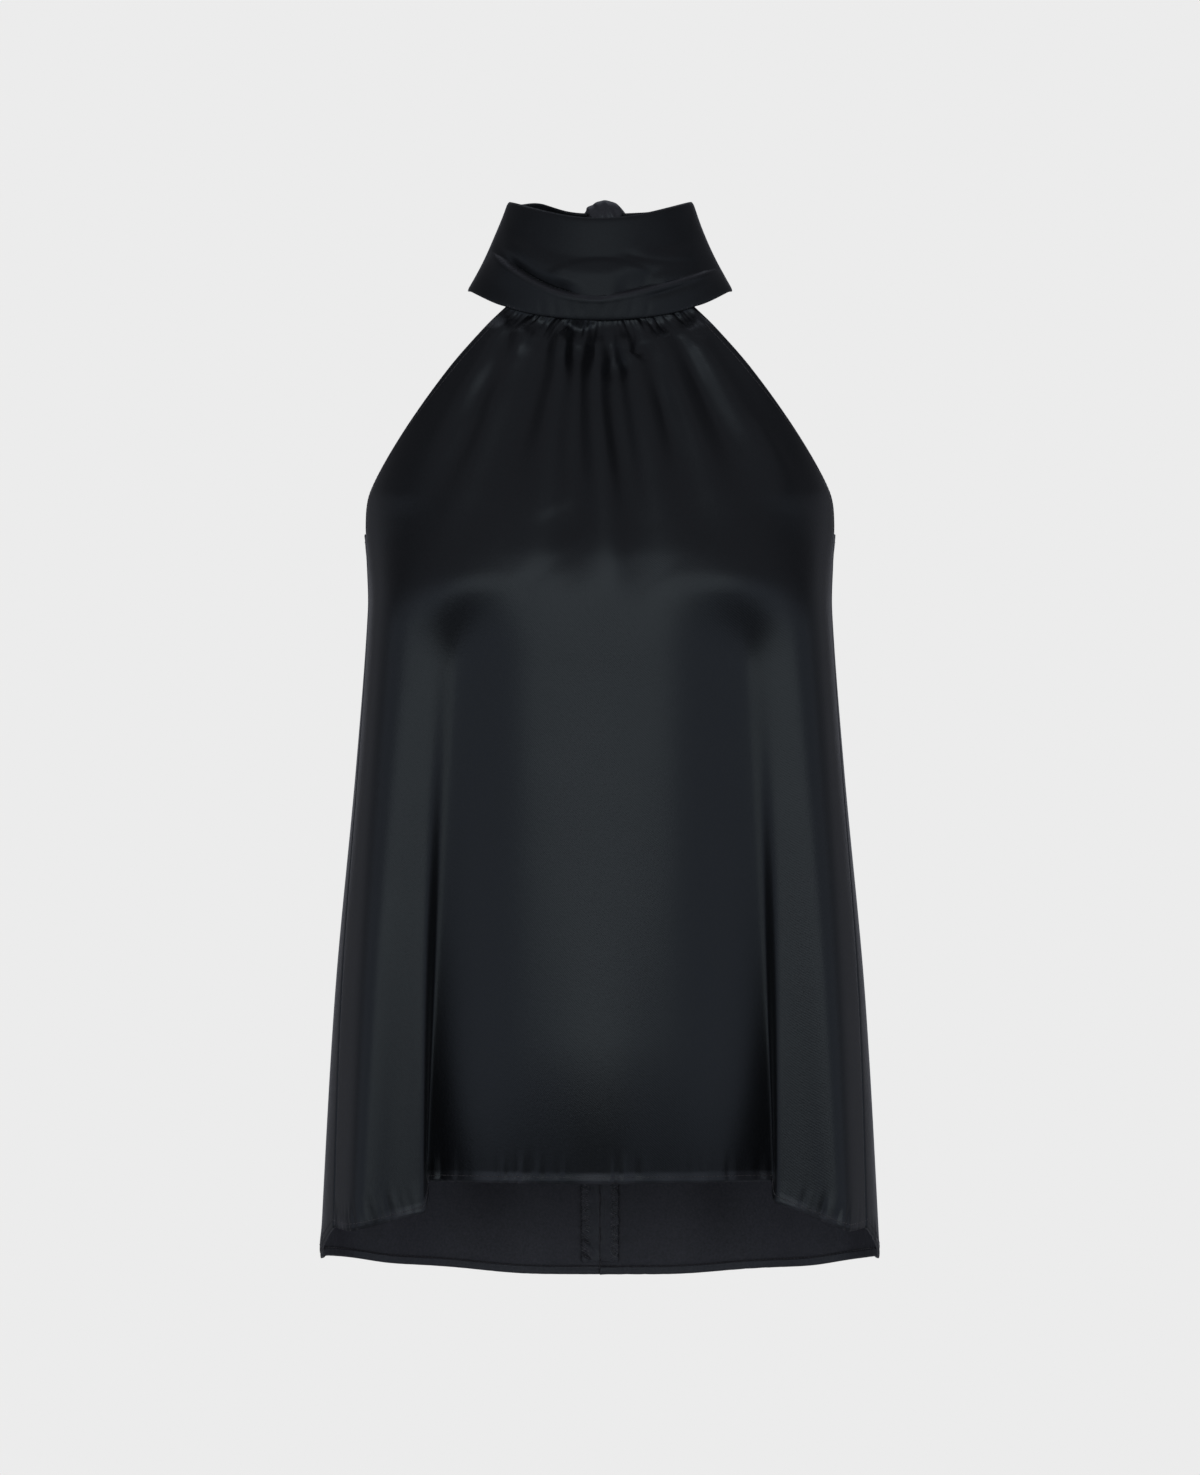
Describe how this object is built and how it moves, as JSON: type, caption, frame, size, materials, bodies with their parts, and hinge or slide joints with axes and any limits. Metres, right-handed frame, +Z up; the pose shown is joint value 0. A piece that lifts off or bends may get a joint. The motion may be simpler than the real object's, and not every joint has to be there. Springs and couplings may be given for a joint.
{
  "type": "tie-neck blouse",
  "caption": "Sleeveless satin halter blouse with a gathered front, a wide band knotted behind the neck, a flared body and a hem that falls lower at the back, in its worn hollow shape.",
  "frame": {"origin": "middle of the neck, between the two points where the armholes meet the neck band, where a neck holds the garment up", "axes": "+X to the right as the front is seen, +Y to the back, so the front faces -Y, and +Z up"},
  "size_m": [0.3616, 0.2694, 0.7159],
  "materials": {
    "satin": "black polyester satin, shiny side out",
    "satin_inside": "black polyester satin, dull side"
  },
  "bodies": {
    "root": {"front_panel": "satin", "front_hem": "satin_inside", "armhole_hem_left": "satin_inside", "armhole_hem_right": "satin_inside", "back_panel_left": "satin", "back_panel_right": "satin", "back_hem_left": "satin_inside", "back_hem_right": "satin_inside", "back_top_hem_left": "satin_inside", "back_top_hem_right": "satin_inside", "seam_allowance_left": "satin_inside", "seam_allowance_right": "satin_inside", "neck_band": "satin", "tie_knot": "satin", "tie_end_left": "satin", "tie_end_right": "satin"}
  },
  "joints": []
}
